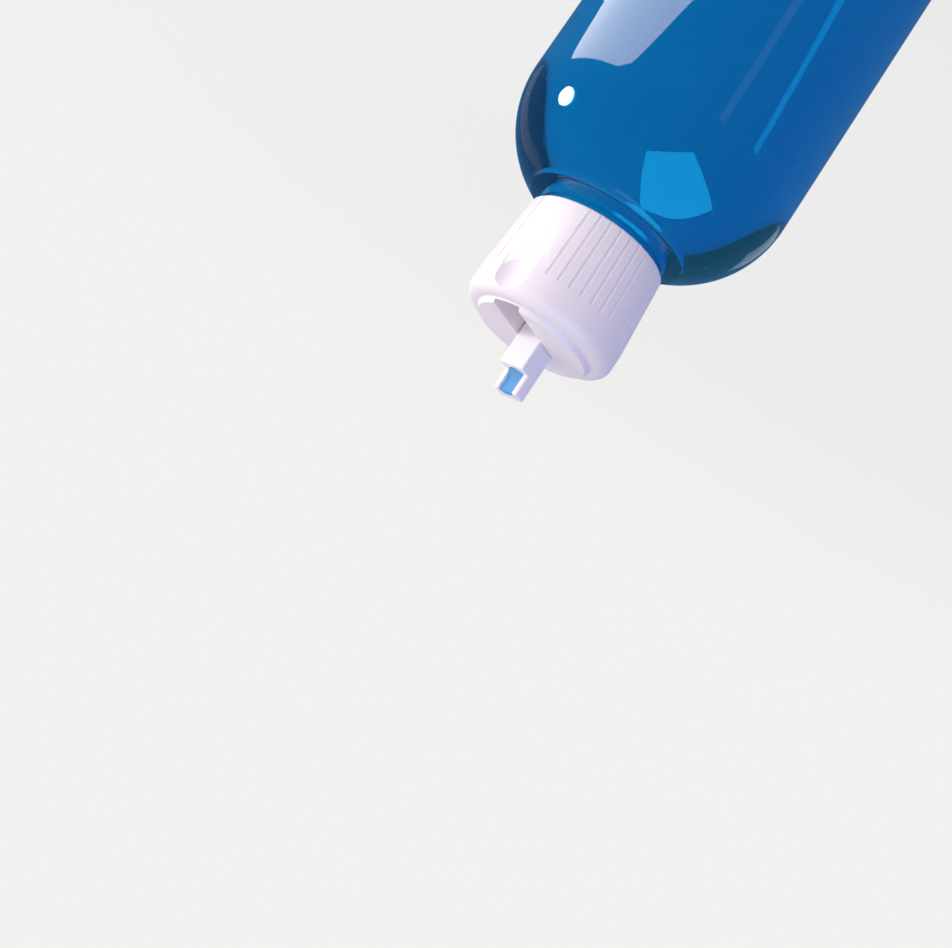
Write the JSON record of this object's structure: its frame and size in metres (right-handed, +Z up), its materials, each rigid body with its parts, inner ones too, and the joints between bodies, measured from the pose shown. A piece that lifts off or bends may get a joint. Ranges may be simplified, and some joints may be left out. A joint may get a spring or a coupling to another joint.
{
  "type": "syrup squeeze bottle with flip-up spout",
  "caption": "Clear round squeeze bottle of blue syrup with a white ribbed screw-on closure and a square spout that folds down into a slot.",
  "frame": {"origin": "centre of the base, on the surface that the bottle stands on", "axes": "+Z up along the bottle's axis, -Y the front, towards which the spout folds, +X to the right seen from the front"},
  "size_m": [0.0604, 0.0604, 0.1565],
  "materials": {
    "clear_shell": "clear glossy blown plastic",
    "blue_syrup": "clear coloured liquid",
    "foam_liner": "matt foamed sheet",
    "white_closure": "satin moulded plastic",
    "white_spout": "satin moulded plastic"
  },
  "bodies": {
    "bottle": {"bottle": "clear_shell", "syrup": "blue_syrup"},
    "liner": {"liner": "foam_liner"},
    "closure": {"closure": "white_closure"},
    "spout": {"spout": "white_spout"}
  },
  "joints": [
    {"name": "closure_lift", "type": "slide", "parent": "bottle", "child": "liner", "axis": [0, 0, 1], "range_m": [0, 0.00635]},
    {"name": "closure_turn", "type": "hinge", "parent": "liner", "child": "closure", "pos_m": [0, 0, 0.139], "axis": [0, 0, 1], "range_deg": [0, 540]},
    {"name": "spout_flip", "type": "hinge", "parent": "closure", "child": "spout", "pos_m": [0, 0.002, 0.1422], "axis": [1, 0, 0], "range_deg": [0, 90]}
  ],
  "couplings": [
    {"joint": "closure_turn", "follows": "closure_lift", "rad_per_m": 1484.2}
  ]
}
